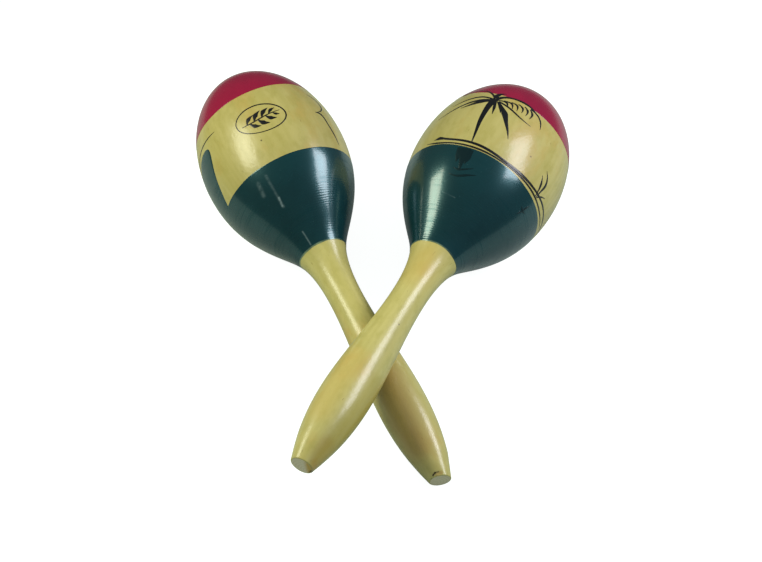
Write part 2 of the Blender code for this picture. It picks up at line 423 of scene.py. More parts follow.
def build_bowl(maraca, material):
    """The green lower shell: its coat laps over the handle's shoulder and over the band."""
    low_joint = maraca.neck + PAINT_LAP
    high_joint = maraca.green - PAINT_LAP
    outside = maraca.steps(maraca.neck + EDGE_ROOM, maraca.green - EDGE_ROOM)
    floor = maraca.tenon_end + TENON_SHORT
    bore = tenon_radius(maraca) + JOINT
    inside = maraca.steps(high_joint, floor, INSIDE_STEP)
    rings = [maraca.skin(low_joint, CLEARANCE)]
    rings += paint_edge(maraca, border_line(maraca, "neck"), -1)[::-1]
    rings += [maraca.skin(along, PAINT) for along in outside]
    rings += paint_edge(maraca, border_line(maraca, "green"), 1)
    rings.append(maraca.skin(high_joint, CLEARANCE))
    rings += zip(inside, maraca.inner_radius_at(inside))
    rings += [(floor, bore), (low_joint, bore)]
    piece = lathe(maraca.name + "_green_bowl", maraca, rings, material)
    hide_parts(maraca.name + "_bowl")


def build_band(maraca, material):
    """The natural wood band between the green and the red."""
    low = maraca.green - PAINT_LAP + JOINT
    high = maraca.red + PAINT_LAP - JOINT
    inside = maraca.steps(high, low, INSIDE_STEP)
    rings = [maraca.skin(along) for along in maraca.steps(low, high)]
    rings += zip(inside, maraca.inner_radius_at(inside))
    piece = lathe(maraca.name + "_natural_band", maraca, rings, material)
    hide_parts(maraca.name + "_crown")


def build_cap(maraca, material):
    """The red cap, from the tip to where its coat laps over the band."""
    joint = maraca.red + PAINT_LAP
    outside = maraca.steps(maraca.tip, maraca.red + EDGE_ROOM)
    inner_tip = maraca.tip - maraca.wall
    quarter = np.linspace(math.asin((joint - maraca.girth) / (inner_tip - maraca.girth)),
                          math.pi / 2, CAP_RINGS)
    inside = maraca.girth + (inner_tip - maraca.girth) * np.sin(quarter[:-1])
    rings = [maraca.skin(along, PAINT) for along in outside]
    rings += paint_edge(maraca, border_line(maraca, "red"), -1)
    rings.append(maraca.skin(joint, CLEARANCE))
    rings += zip(inside, maraca.inner_radius_at(inside))
    rings.append((inner_tip, 0.0))
    rings[0] = (float(rings[0][0]), 0.0)
    piece = lathe(maraca.name + "_red_cap", maraca, rings, material)
    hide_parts(maraca.name + "_crown")


# Brushed strokes

# A stroke's cross-section, as shares of half its width and of its height. BRUSH widens them all.
STROKE_STEP = 0.5 * MM
MIN_STEPS = 6
BRUSH = 1.75
STROKE_SHAPE = ((-1.0, 0.0), (-0.85, 0.75), (-0.45, 1.0), (0.45, 1.0), (0.85, 0.75), (1.0, 0.0))
STROKE_ROOT = -0.03 * MM


def brush_steps(maraca, table):
    """Fine steps of a stroke: distances along, angles and widths.

    table rows are millimetres along, degrees round and millimetres wide.
    """
    table = np.array(table, float)
    along = table[:, 0] * MM
    angle = np.radians(table[:, 1])
    width = table[:, 2] * MM * BRUSH
    reach = chord_lengths(np.column_stack((along, angle * maraca.radius_at(along))))
    count = max(MIN_STEPS, math.ceil(reach[-1] / STROKE_STEP))
    fine = np.linspace(0.0, reach[-1], count + 1)
    return spline(reach, along, fine), spline(reach, angle, fine), np.interp(fine, reach, width)


def stroke_form(maraca, table, over_paint):
    """Places and faces of one brushed stroke."""
    along, angle, width = brush_steps(maraca, table)
    count = len(along) - 1
    base = PAINT if over_paint else 0.0
    centre = maraca.on_skin(along, angle)
    outer = maraca.on_skin(along, angle, 1 * MM)
    normal = (outer - centre) / MM
    path = np.gradient(centre, axis=0)
    path /= np.linalg.norm(path, axis=1)[:, None]
    side = np.cross(normal, path)
    columns = []
    for across, height in STROKE_SHAPE:
        lift = base + INK * height
        columns.append(centre + side * (across * width / 2)[:, None] + normal * lift)
    for across in (1.0, -1.0):
        columns.append(centre + side * (across * width / 2)[:, None] + normal * STROKE_ROOT)
    corners = len(columns)
    places = np.stack(columns, axis=1).reshape(-1, 3)
    faces = [tuple(range(corners)), tuple(range(count * corners, (count + 1) * corners))]
    for i in range(count):
        for j in range(corners):
            k = (j + 1) % corners
            faces.append((i * corners + j, i * corners + k,
                          (i + 1) * corners + k, (i + 1) * corners + j))
    return places, faces


def build_strokes(name, maraca, tables, material, over_paint=False):
    """One piece from several brushed strokes."""
    places = []
    faces = []
    start = 0
    for table in tables:
        more, sides = stroke_form(maraca, table, over_paint)
        places.append(more)
        faces += [tuple(start + corner for corner in side) for side in sides]
        start += len(more)
    piece = add_piece(name, maraca, np.concatenate(places), faces, material)


PATCH_ROWS = 60
PATCH_COLUMNS = 40
PATCH_LIFT = 1.15 * PAINT
PATCH_EDGE = 0.25 * MM
MM_PER_DEGREE = 0.7


def build_patch(name, maraca, rows, material):
    """A painted patch. rows are millimetres along and degrees from and to, from low to high."""
    rows = np.array(rows, float)
    reach = chord_lengths(rows * (1.0, MM_PER_DEGREE, MM_PER_DEGREE))
    fine = np.linspace(0.0, reach[-1], PATCH_ROWS)
    along = spline(reach, rows[:, 0], fine) * MM
    start = np.radians(spline(reach, rows[:, 1], fine))
    end = np.radians(spline(reach, rows[:, 2], fine))
    share = np.linspace(0.0, 1.0, PATCH_COLUMNS + 1)
    angle = start[:, None] + (end - start)[:, None] * share
    edge = np.minimum(np.minimum(share, 1 - share)[None, :] * np.abs(end - start)[:, None]
                      * maraca.widest, (along[-1] - along)[:, None])
    rise = np.clip(edge / PATCH_EDGE, 0.0, 1.0)
    height = PATCH_LIFT * np.sqrt(1 - (1 - rise) ** 2)
    grid = np.broadcast_to(along[:, None], angle.shape)
    top = maraca.on_skin(grid, angle)
    out = (maraca.on_skin(grid, angle, 1 * MM) - top) / MM
    top = top + out * height[..., None]
    under = maraca.on_skin(grid, angle, STROKE_ROOT)
    places = np.concatenate((top.reshape(-1, 3), under.reshape(-1, 3)))
    piece = add_piece(name, maraca, places, patch_faces(), material)


def patch_faces():
    """Faces of a patch: its top, its underside and its four edges."""
    across = PATCH_COLUMNS + 1
    shift = PATCH_ROWS * across
    faces = []
    for i in range(PATCH_ROWS - 1):
        for j in range(PATCH_COLUMNS):
            a = i * across + j
            b = a + across
            faces.append((a, a + 1, b + 1, b))
            faces.append((a + shift, b + shift, b + shift + 1, a + shift + 1))
    for i in range(PATCH_ROWS - 1):
        for a in (i * across, i * across + PATCH_COLUMNS):
            faces.append((a, a + across, a + across + shift, a + shift))
    for j in range(PATCH_COLUMNS):
        for a in (j, (PATCH_ROWS - 1) * across + j):
            faces.append((a, a + 1, a + 1 + shift, a + shift))
    return faces


# Materials

def put(socket, value):
    """Set an input, or link it if the value is a socket. A colour needs no alpha."""
    if isinstance(value, bpy.types.NodeSocket):
        socket.id_data.links.new(value, socket)
    elif socket.type == "RGBA":
        socket.default_value = (*value, 1.0)
    else:
        socket.default_value = value


def feed(node, **inputs):
    """Put values into the inputs of a node, named with _ for a space."""
    for name, value in inputs.items():
        put(node.inputs[name.replace("_", " ")], value)


class Surface:
    """A material's node tree, with short ways to add nodes. A value may be a socket.

    place is the point that is shaded, in the maraca's own space, as its pieces keep it.
    """

    def __init__(self, name):
        self.material = bpy.data.materials.new(name)
        self.material.use_nodes = True
        self.tree = self.material.node_tree
        self.shader = self.tree.nodes["Principled BSDF"]
        turned = self.tree.nodes.new("ShaderNodeAttribute")
        turned.attribute_name = "turned"
        self.place = turned.outputs["Vector"]

    def add(self, kind, inputs=(), **settings):
        """A new node with settings and with values for its first inputs."""
        node = self.tree.nodes.new("ShaderNode" + kind)
        for key, value in settings.items():
            setattr(node, key, value)
        for socket, value in zip(node.inputs, inputs):
            put(socket, value)
        return node

    def math(self, operation, *values, clamp=False):
        """A scalar calculation."""
        return self.add("Math", values, operation=operation, use_clamp=clamp).outputs[0]

    def vector(self, operation, *values):
        """A vector calculation."""
        return self.add("VectorMath", values, operation=operation).outputs["Vector"]

    def scaled(self, direction, length):
        """A vector times a number."""
        node = self.add("VectorMath", (direction,), operation="SCALE")
        feed(node, Scale=length)
        return node.outputs["Vector"]

    def number(self, operation, *values):
        """A vector calculation that gives a number."""
        return self.add("VectorMath", values, operation=operation).outputs["Value"]

    def times(self, first, second, plus=0.0):
        """A product, with something added to it."""
        return self.math("MULTIPLY_ADD", first, second, plus)

    def along(self):
        """The distance along the maraca's axis."""
        return self.number("DOT_PRODUCT", self.place, (0.0, 0.0, 1.0))

    def noise(self, scale, detail=2.0, roughness=0.5, offset=(0.0, 0.0, 0.0)):
        """Cloudy noise about 0.5, scale cycles to the metre, from an offset in metres."""
        place = self.vector("MULTIPLY", self.vector("ADD", self.place, offset), scale)
        node = self.add("TexNoise", (place,))
        feed(node, Scale=1.0, Detail=detail, Roughness=roughness)
        return node.outputs["Fac"]

    def ramp(self, value, low, high, top=1.0, smooth=True):
        """0 at low, top at high, clamped."""
        kind = "SMOOTHSTEP" if smooth else "LINEAR"
        node = self.add("MapRange", (value, low, high, 0.0, top), interpolation_type=kind)
        return node.outputs["Result"]

    def mix(self, factor, first, second):
        """A colour between two others."""
        node = self.add("Mix", (factor,), data_type="RGBA")
        colours = [socket for socket in node.inputs if socket.type == "RGBA"]
        put(colours[0], first)
        put(colours[1], second)
        return next(socket for socket in node.outputs if socket.type == "RGBA")

    def bump(self, height_mm):
        """A normal from a height in millimetres."""
        node = self.add("Bump")
        feed(node, Strength=1.0, Distance=MM, Height=height_mm)
        return node.outputs["Normal"]

    def near_line(self, place, start, end, inner, outer, amount):
        """amount within inner of the line from start to end, 0 beyond outer."""
        start = Vector(start)
        line = Vector(end) - start
        offset = self.vector("SUBTRACT", place, start)
        if line.length > 0.0:
            share = self.number("DOT_PRODUCT", offset, line)
            share = self.math("DIVIDE", share, line.length_squared, clamp=True)
            offset = self.vector("SUBTRACT", offset, self.scaled(line, share))
        return self.ramp(self.number("LENGTH", offset), outer, inner, amount)


def lathe_marks(surface, pitch=1.3 * MM, depth=0.005):
    """Height in millimetres of the faint ridges that turning leaves under the lacquer."""
    wander = surface.noise((60, 60, 90))
    phase = surface.times(surface.along(), math.tau / pitch, surface.times(wander, 9.0))
    patchy = surface.noise((25, 25, 55), offset=(0.3, 0.1, 0.7))
    return surface.times(surface.math("SINE", phase), surface.ramp(patchy, 0.35, 0.75, depth))


def lacquer_flow(surface, depth=0.016, ripple=0.5):
    """Height in millimetres of the gentle waves of brushed lacquer, with finer ones by ripple."""
    return surface.times(surface.noise((170, 170, 130), 3.0, ripple), depth)


def growth_rings(surface, pith, taper, spacing, sway):
    """Growth rings about a pith, from 0 to 1. taper is how fast they change along the axis."""
    centred = surface.vector("ADD", surface.place, pith)
    away = surface.number("LENGTH", surface.vector("MULTIPLY", centred, (1.0, 1.0, taper)))
    phase = surface.times(away, math.tau / spacing, sway)
    return surface.times(surface.math("SINE", phase), 0.5, 0.5)


# How far the outline of a mark may wander, and the colours of the wood.
WOBBLE = 1.6 * MM
WOOD = {
    "pale": (0.57, 0.505, 0.165),
    "deep": (0.43, 0.385, 0.09),
    "warm": (0.535, 0.38, 0.085),
    "pore": (0.29, 0.215, 0.05),
}
BAND_WOOD = {
    "pale": (0.465, 0.405, 0.13),
    "deep": (0.355, 0.31, 0.07),
    "warm": (0.44, 0.31, 0.066),
    "pore": (0.25, 0.18, 0.04),
}
SAWN_WOOD = {
    "pale": (0.82, 0.72, 0.46),
    "deep": (0.64, 0.56, 0.32),
    "pore": (0.27, 0.23, 0.12),
}
SCUFFED = (0.2, 0.27, 0.27)
# Colour of the thin pale line along the green lacquer's neck edge: a painted highlight.
NECK_EDGE_HIGHLIGHT = (0.26, 0.34, 0.18)


def stains_and_painted_shade(surface, colour, marks):
    """A colour with ragged marks, each a (start, end, inner, outer, colour, amount). Most are
    stains; the one on the left grip is partly painted shade.
    """
    if not marks:
        return colour
    ragged = surface.noise((900, 900, 500), 3.0, 0.7)
    wobble = surface.times(ragged, 1.0, -0.5)
    for start, end, inner, outer, tint, amount in marks:
        shift = surface.times(wobble, min(outer, WOBBLE))
        shifted = surface.vector("ADD", surface.place, surface.scaled((1.0, 1.0, 1.0), shift))
        near = surface.near_line(shifted, start, end, inner, outer, amount)
        colour = surface.mix(near, colour, tint)
    return colour


def wood_material(name, offset, pith, marks=(), look=WOOD, shine=0.24):
    """Pale turned wood under clear lacquer, with marks over its colour: stains, and on the left
    grip partly painted shade.
    """
    surface = Surface(name)
    sway = surface.noise((30, 30, 9), offset=offset)
    rings = growth_rings(surface, pith, 0.06, 3.1 * MM, surface.times(sway, 11.0))
    fibre = surface.noise((1500, 1500, 35), 3.0, 0.6, offset)
    streak = surface.noise((190, 190, 7), offset=offset)
    blotch = surface.noise((48, 48, 28), 4.0, 0.6, offset)
    mottle = surface.noise((210, 210, 110), 4.0, 0.6, offset)
    flecks = surface.noise((900, 900, 160), 1.0, offset=offset)
    figure = surface.ramp(rings, 0.15, 0.95, 0.1)
    figure = surface.times(surface.ramp(streak, 0.38, 0.7), 0.36, figure)
    colour = surface.mix(figure, look["pale"], look["deep"])
    warmth = surface.ramp(blotch, 0.48, 0.68, 0.65)
    colour = surface.mix(warmth, colour, look["warm"])
    cloudy = surface.ramp(mottle, 0.44, 0.7, 0.5)
    colour = surface.mix(cloudy, colour, look["deep"])
    pores = surface.ramp(fibre, 0.6, 0.78, 0.3)
    pores = surface.math("MAXIMUM", pores, surface.ramp(flecks, 0.745, 0.8, 0.65))
    colour = surface.mix(pores, colour, look["pore"])
    colour = stains_and_painted_shade(surface, colour, marks)
    grain = surface.times(fibre, 0.004)
    height = surface.math("ADD", grain, lacquer_flow(surface, 0.13, 0.8))
    height = surface.math("ADD", height, lathe_marks(surface))
    normal = surface.bump(height)
    rough = surface.times(streak, 0.16, 0.34)
    feed(surface.shader, Base_Color=colour, Roughness=rough, Normal=normal, Coat_Normal=normal,
         Coat_Weight=0.7, Coat_Roughness=shine, Specular_IOR_Level=0.25)
    return surface.material


def lacquer_material(name, colour, shade, tint, gleam, coat, shine, scuffs=(), edge_highlight_at=None):
    """Opaque gloss lacquer over turned wood, thinner in places, with a few dull scuffs.

    At the neck border it is given, a thin pale line is painted along the lacquer's edge: a painted
    highlight.
    """
    surface = Surface(name)
    cloud = surface.noise((45, 45, 30), 3.0, 0.6)
    brushed = surface.noise((420, 420, 1500))
    fade = surface.ramp(cloud, 0.35, 0.7, 0.75)
    fade = surface.times(surface.ramp(brushed, 0.35, 0.75), 0.25, fade)
    shown = surface.mix(fade, colour, shade)
    dust = surface.ramp(surface.noise((1100, 1100, 1100), 1.0), 0.735, 0.79)
    shown = surface.mix(surface.times(dust, 0.55), shown, tint)
    worn = 0.0
    for start, end, inner, outer, amount in scuffs:
        broken = surface.ramp(surface.noise((260, 260, 420), 4.0, 0.75), 0.24, 0.6)
        near = surface.near_line(surface.place, start, end, inner, outer, amount)
        worn = surface.math("MAXIMUM", worn, surface.times(near, broken))
    if scuffs:
        shown = surface.mix(worn, shown, SCUFFED)
    # A painted highlight: a thin pale line along the lacquer's edge at the neck border.
    if edge_highlight_at:
        edge = surface.ramp(surface.along(), edge_highlight_at + 0.85 * MM, edge_highlight_at + 0.3 * MM)
        edge = surface.times(edge, surface.ramp(cloud, 0.3, 0.6))
        shown = surface.mix(surface.times(edge, 0.85), shown, NECK_EDGE_HIGHLIGHT)
    height = surface.math("ADD", lacquer_flow(surface), lathe_marks(surface, 1.1 * MM, 0.012))
    height = surface.times(dust, 0.004, height)
    rings = surface.noise((30, 30, 950), 2.0, 0.6)
    full = surface.times(surface.ramp(rings, 0.52, 0.7), -0.55 * coat, coat)
    rough = surface.times(cloud, 0.14, 0.2)
    normal = surface.bump(height)
    feed(surface.shader, Base_Color=shown, Roughness=rough, Normal=normal, Coat_Normal=normal,
         Coat_Weight=full, Coat_Roughness=shine, Specular_IOR_Level=0.55, Specular_Tint=gleam)
    return surface.material


def ink_material(name, full, thinned, gleam=(1.0, 1.0, 1.0)):
    """Brushed paint, thin at the edges of the bristles, under the same lacquer."""
    surface = Surface(name)
    bristle = surface.noise((1300, 1300, 500), 3.0, 0.65)
    thin = surface.ramp(bristle, 0.56, 0.8, 0.5)
    colour = surface.mix(thin, full, thinned)
    normal = surface.bump(surface.times(bristle, 0.006))
    feed(surface.shader, Base_Color=colour, Roughness=0.42, Normal=normal, Coat_Normal=normal,
         Coat_Weight=0.5, Coat_Roughness=0.16, Specular_IOR_Level=0.3, Specular_Tint=gleam)
    return surface.material


def end_grain_material(name, offset, pith, marks=()):
    """Raw sawn end of the stick: rings across it, pores, and the marks of the saw."""
    surface = Surface(name)
    sway = surface.noise((220, 220, 220), offset=offset)
    rings = growth_rings(surface, pith, 0.0, 1.5 * MM, surface.times(sway, 2.5))
    pores = surface.noise((2600, 2600, 2600), 2.0, 0.6, offset)
    saw = surface.noise((2200, 160, 160), offset=offset)
    colour = surface.mix(surface.times(rings, 0.45), SAWN_WOOD["pale"], SAWN_WOOD["deep"])
    open_pores = surface.ramp(pores, 0.55, 0.75, 0.45)
    colour = surface.mix(open_pores, colour, SAWN_WOOD["pore"])
    colour = stains_and_painted_shade(surface, colour, marks)
    height = surface.times(saw, 0.05, surface.times(pores, 0.03))
    rough = surface.times(pores, 0.2, 0.6)
    feed(surface.shader, Base_Color=colour, Roughness=rough, Normal=surface.bump(height),
         Specular_IOR_Level=0.25)
    return surface.material


SEED_DARK = (0.06, 0.026, 0.01)
SEED_PALE = (0.23, 0.12, 0.045)


def seed_material():
    """Dry brown seeds with darker mottling."""
    surface = Surface("dry_seed")
    surface.place = surface.add("TexCoord").outputs["Object"]
    mottle = surface.noise((700, 700, 700), 4.0)
    colour = surface.mix(surface.ramp(mottle, 0.35, 0.7, smooth=False), SEED_DARK, SEED_PALE)
    feed(surface.shader, Base_Color=colour, Roughness=0.5,
         Normal=surface.bump(surface.times(mottle, 0.1)))
    return surface.material


def placed(maraca, marks):
    """Marks or scuffs of a table, with their ends on the outside and their reach in metres."""
    found = []
    for start, end, inner, outer, *rest in marks:
        ends = [tuple(maraca.on_handle(along * MM, math.radians(angle)))
                for along, angle in (start, end)]
        found.append((*ends, inner * MM, outer * MM, *rest))
    return found


# The painting. Stroke rows are millimetres along, degrees round and millimetres wide.

HILL = (
    (195, -150, -82),
    (203, -140, -76),
    (211, -127, -71.5),
    (219, -112, -67),
    (225, -98, -64),
    (229, -86, -64.5),
    (230.8, -74, -70),
)

LEFT_LINES = (
    [(234, -51, 0.15), (234.6, -60, 0.45), (234.4, -71, 0.55), (233, -84, 0.5),
     (228, -97, 0.45), (220, -108, 0.15)],
    [(235.5, 42, 0.2), (233, 47.5, 0.45), (227.5, 49.8, 0.75), (223, 45.5, 0.45),
     (220.4, 37, 0.2)],
    [(220.6, 36.5, 0.3), (219.6, 42, 0.9), (214, 44.8, 0.7), (207, 47.6, 0.75),
     (200.2, 50.2, 0.2)],
    [(206, 126, 0.2), (206.6, 140, 0.7), (206.2, 160, 0.8), (206.4, 182, 0.65),
     (205.8, 198, 0.2)],
    [(202.6, 134, 0.2), (203, 150, 0.6), (202.6, 172, 0.6), (202.9, 190, 0.2)],
)

RIGHT_LINES = (
    [(209.8, -37, 0.2), (210.6, -32.5, 1.3), (210.2, -27, 0.8), (210, -10, 0.85),
     (209.8, 8, 0.95), (209, 26, 0.8), (209.7, 44, 0.95), (210.8, 60, 0.8),
     (212, 78, 0.7), (211.6, 96, 0.6), (210.4, 112, 0.2)],
    [(208.3, -44, 0.2), (207.6, -34, 0.65), (207.5, -16, 0.6), (207.7, 6, 0.7),
     (207.8, 26, 0.55), (208.3, 44, 0.6), (208.7, 62, 0.7), (208.6, 82, 0.6),
     (209.2, 100, 0.2)],
    [(209.5, 66.6, 0.35), (213.5, 66.4, 0.6), (218.5, 66.8, 1), (222.4, 64.4, 0.75),
     (225.2, 59.6, 0.15)],
    [(208.9, 65.4, 0.35), (212.6, 64, 0.6), (216.6, 62.2, 0.95), (220.6, 58.4, 0.15)],
    [(209.6, 67.2, 0.35), (212.8, 70.6, 0.55), (215.2, 75.4, 0.15)],
    [(214, 176, 0.2), (216.5, 168, 0.6), (216, 160, 0.75), (213.6, 154, 0.2)],
    [(213.8, 153.6, 0.2), (217, 148, 0.7), (217.6, 140, 0.6), (215.4, 133, 0.2)],
    [(209.6, 130, 0.2), (210.2, 150, 0.7), (209.8, 172, 0.75), (210, 194, 0.2)],
)

TRUNKS = (
    [(209.6, -3.4, 0.25), (216, -4.4, 0.75), (225, -6.2, 1.3), (235, -7.4, 1.75),
     (243, -7.4, 2.2), (246.6, -6.4, 2.3)],
    [(221.6, 19.6, 0.15), (227, 15.4, 0.75), (232, 11, 1.35), (237, 6.8, 2.1),
     (240, 3.2, 1.3), (243.6, -2, 0.9)],
)

FRONDS = (
    [(245, -8, 1.1), (243.4, -16, 1.3), (238.8, -27, 0.85), (232.6, -37, 0.55),
     (227.6, -46, 0.15)],
    [(244.6, -8.5, 1.2), (241.6, -16, 1.7), (237.6, -23, 0.95), (234.4, -29, 0.15)],
    [(246, -8, 0.8), (246.6, -19, 0.95), (243, -30, 0.75), (238, -39, 0.15)],
    [(243.8, -6, 0.8), (238.4, -7.8, 0.6), (233.4, -7.6, 0.15)],
    [(243.6, -5, 0.8), (238.8, -3, 1), (233.2, -1.2, 0.15)],
    [(244.6, -3.6, 0.7), (240.4, 1, 1.05), (236, 3.8, 0.15)],
    [(246, -4, 0.5), (246.4, 2.6, 0.9), (242.8, 5.6, 0.15)],
    [(247.2, 0, 0.4), (247.2, 6.6, 0.85), (242.8, 9.6, 0.15)],
    [(248.4, 6, 0.4), (247.8, 11, 0.85), (243.2, 13.4, 0.15)],
    [(249.4, 11.5, 0.4), (248.2, 15.8, 0.85), (243.6, 17.4, 0.15)],
    [(250.2, 17, 0.45), (248.4, 20.4, 0.9), (243.4, 21.2, 0.15)],
    [(250.4, 22, 0.45), (248.2, 25, 0.9), (243, 25, 0.15)],
    [(251.2, 22, 0.7), (249.8, 30, 0.75), (246.2, 34.6, 0.6), (241.6, 36.6, 0.15)],
    [(245, -3, 0.8), (242.6, 8, 0.75), (239.6, 19, 0.6), (238.6, 29, 0.15)],
)

FRONDS_ON_RED = (
    [(246.6, -6, 1.5), (249.6, -3, 1.2), (252.4, 6, 0.8), (253, 14, 1),
     (252.4, 22, 0.75), (250.6, 28, 0.25)],
    [(247, -7, 1.3), (250.6, -8, 1.6), (253, -5.6, 0.9), (254.2, -2.4, 0.15)],
    [(247.4, -8, 0.8), (251.6, -14, 0.6), (254, -22, 0.55), (253.6, -33, 0.5),
     (250.6, -42, 0.15)],
)

REFLECTIONS = (
    [(205.8, -5.4, 3.6), (201, -4.6, 2.8), (196.6, -3.8, 1.2), (193.6, -3.2, 0.6)],
    [(205.4, -10.4, 1.4), (200.6, -9.2, 1.6), (197, -8.6, 0.3)],
    [(205.6, -0.6, 1.6), (200.8, -0.4, 1.8), (197, -1, 0.3)],
    [(193.8, -9, 0.2), (193.4, -4, 0.7), (194.6, 2, 0.55), (196.4, 8, 0.15)],
    [(190.4, -11.6, 0.15), (190, -4, 0.6), (191.6, 4, 0.8), (193.8, 13, 0.15)],
    [(203, 67.6, 0.2), (200, 66.6, 0.8), (197, 65.8, 0.6), (194, 64.4, 0.15)],
    [(199, 62, 0.2), (198, 66, 0.9), (198.6, 70, 0.2)],
)

# A sprig of leaves in an oval, in millimetres across and up from the oval's centre.
SPRIG_AT = (223.6, -11.3)
SPRIG_TILT = math.radians(-11.5)
SPRIG_HALF = (14.2, 9.2)
SPRIG_STEM = ((-11, -2.6, 0.25), (-5, -1.8, 0.5), (1, 0, 0.45), (7, 1.9, 0.35),
              (11.2, 3, 0.2))
SPRIG_LEAVES = (
    ((-8, -2.2), (-6.6, 1), (-3.6, 3), 1.5),
    ((-3.6, -1.5), (-2.4, 2.2), (0.6, 4.8), 1.7),
    ((0.8, -0.1), (2.2, 3.4), (5.2, 5.6), 1.6),
    ((4.8, 1.2), (6.4, 3.8), (8.8, 5), 1.2),
    ((-6.4, -2), (-3.8, -4.4), (-0.4, -5.2), 1.5),
    ((-1.6, -0.9), (1, -3.6), (4.6, -4.6), 1.7),
    ((2.8, 0.6), (5.6, -1.6), (8.8, -2), 1.5),
    ((7, 1.9), (8.8, 0.6), (10.8, 0.4), 1),
)


OVAL_POINTS = 28
OVAL_START = -1.9
OVAL_WIDTH = 0.42


def sprig_tables(maraca):
    """Strokes of the oval, the stem and the leaves."""
    around = float(maraca.radius_at(SPRIG_AT[0] * MM)) / MM

    def row(x, y, width):
        """A stroke's row from millimetres across and up from the oval's centre."""
        along = SPRIG_AT[0] + x * math.sin(SPRIG_TILT) + y * math.cos(SPRIG_TILT)
        across = x * math.cos(SPRIG_TILT) - y * math.sin(SPRIG_TILT)
        return along, SPRIG_AT[1] + math.degrees(across / around), width

    oval = []
    for turn in OVAL_START + np.linspace(0.0, math.tau, OVAL_POINTS + 1):
        width = OVAL_WIDTH * (1.0 + 0.25 * math.sin(turn + 0.6))
        oval.append(row(SPRIG_HALF[0] * math.cos(turn), SPRIG_HALF[1] * math.sin(turn), width))
    leaves = [[row(*foot, 0.25), row(*belly, width), row(*tip, 0.12)]
              for foot, belly, tip, width in SPRIG_LEAVES]
    return [oval, [row(*point) for point in SPRIG_STEM], *leaves]


def paint_left(maraca, ink, green):
    """The sprig, a green hill and some ink lines on the left head."""
    build_strokes("left_leaf_sprig", maraca, sprig_tables(maraca), ink)
    build_strokes("left_ink_lines", maraca, LEFT_LINES, ink)
    build_patch("left_green_hill", maraca, HILL, green)


def paint_right(maraca, ink, wash):
    """A palm over a water line on the right head."""
    build_strokes("right_ink_palm", maraca, TRUNKS + FRONDS, ink)
    build_strokes("right_ink_fronds_on_red", maraca, FRONDS_ON_RED, ink, over_paint=True)
    build_strokes("right_ink_horizon", maraca, RIGHT_LINES, ink)
    build_strokes("right_ink_reflections", maraca, REFLECTIONS, wash, over_paint=True)


# Floor, lights and camera

FLOOR_RADIUS = 0.31
FLOOR_SPOKES = 96
FLOOR_COLOUR = (0.30, 0.37, 0.33)
FLOOR_SEEN = 0.93
FLOOR_GLOW = 0.06
WARM = (1.0, 0.98, 0.74)
COOL = (0.94, 0.93, 1.0)
# Soft boxes: degrees from +Y towards +X, degrees up, size, radiance and colour.
LIGHTS = ((-81, 39, (0.28, 0.185), 11.5, WARM), (76, 37, (0.32, 0.19), 11.0, COOL))
LIGHT_TARGET = Vector((0.0, 0.0, 0.04))
LIGHT_DISTANCE = 0.53
WORLD_COLOUR = (0.80, 0.92, 1.0)
WORLD_SEEN = 1.3
WORLD_FILL = 0.42
WORLD_REFLECTED = 0.10


def by_ray(tree, kind, match, otherwise):
    """One strength for one kind of ray, such as "Is Camera Ray", and another for the others."""
    path = tree.nodes.new("ShaderNodeLightPath")
    choice = tree.nodes.new("ShaderNodeMix")
    feed(choice, Factor=path.outputs[kind], A=otherwise, B=match)
    return choice.outputs["Result"]


def build_floor():
    """A round table top, seen as pale as the surround but mirrored in the lacquer as darker."""
    form = bmesh.new()
    bmesh.ops.create_circle(form, cap_ends=True, segments=FLOOR_SPOKES, radius=FLOOR_RADIUS)
    mesh = bpy.data.meshes.new("floor")
    form.to_mesh(mesh)
    form.free()
    floor = add_object("floor", mesh)
    surface = Surface("floor")
    glow = by_ray(surface.tree, "Is Camera Ray", FLOOR_SEEN, FLOOR_GLOW)
    feed(surface.shader, Base_Color=FLOOR_COLOUR, Roughness=0.8, Specular_IOR_Level=0.1,
         Emission_Color=(1.0, 1.0, 1.0), Emission_Strength=glow)
    mesh.materials.append(surface.material)


def add_light(azimuth, elevation, size, radiance, colour):
    """A soft box that faces the pair, from a compass direction and a height in degrees."""
    light = bpy.data.lights.new("soft_box", "AREA")
    light.shape = "RECTANGLE"
    light.size, light.size_y = size
    light.energy = radiance * math.pi * light.size * light.size_y
    light.color = colour
    lamp = add_object("soft_box", light)
    azimuth = math.radians(azimuth)
    elevation = math.radians(elevation)
    towards = Vector((math.sin(azimuth) * math.cos(elevation),
                      math.cos(azimuth) * math.cos(elevation), math.sin(elevation)))
    lamp.location = LIGHT_TARGET + towards * LIGHT_DISTANCE
    lamp.rotation_euler = (-towards).to_track_quat("-Z", "Y").to_euler()
    lamp.visible_camera = False


def build_world():
    """A white surround to look at, which lights less and is reflected much less."""
    world = bpy.data.worlds.new("studio")
    bpy.context.scene.world = world
    world.use_nodes = True
    tree = world.node_tree
    tree.nodes.clear()
    unseen = by_ray(tree, "Is Glossy Ray", WORLD_REFLECTED, WORLD_FILL)
    background = tree.nodes.new("ShaderNodeBackground")
    output = tree.nodes.new("ShaderNodeOutputWorld")
    feed(background, Color=WORLD_COLOUR,
         Strength=by_ray(tree, "Is Camera Ray", WORLD_SEEN, unseen))
    feed(output, Surface=background.outputs["Background"])


def build_camera():
    """The camera of the reference view, far off with a long lens."""
    data = bpy.data.cameras.new("camera")
    data.lens = LENS
    data.sensor_width = SENSOR
    camera = add_object("camera", data)
    camera.location = CAMERA_AT
    camera.rotation_euler = CAMERA_LOOK.to_track_quat("-Z", "Y").to_euler()
    bpy.context.scene.camera = camera


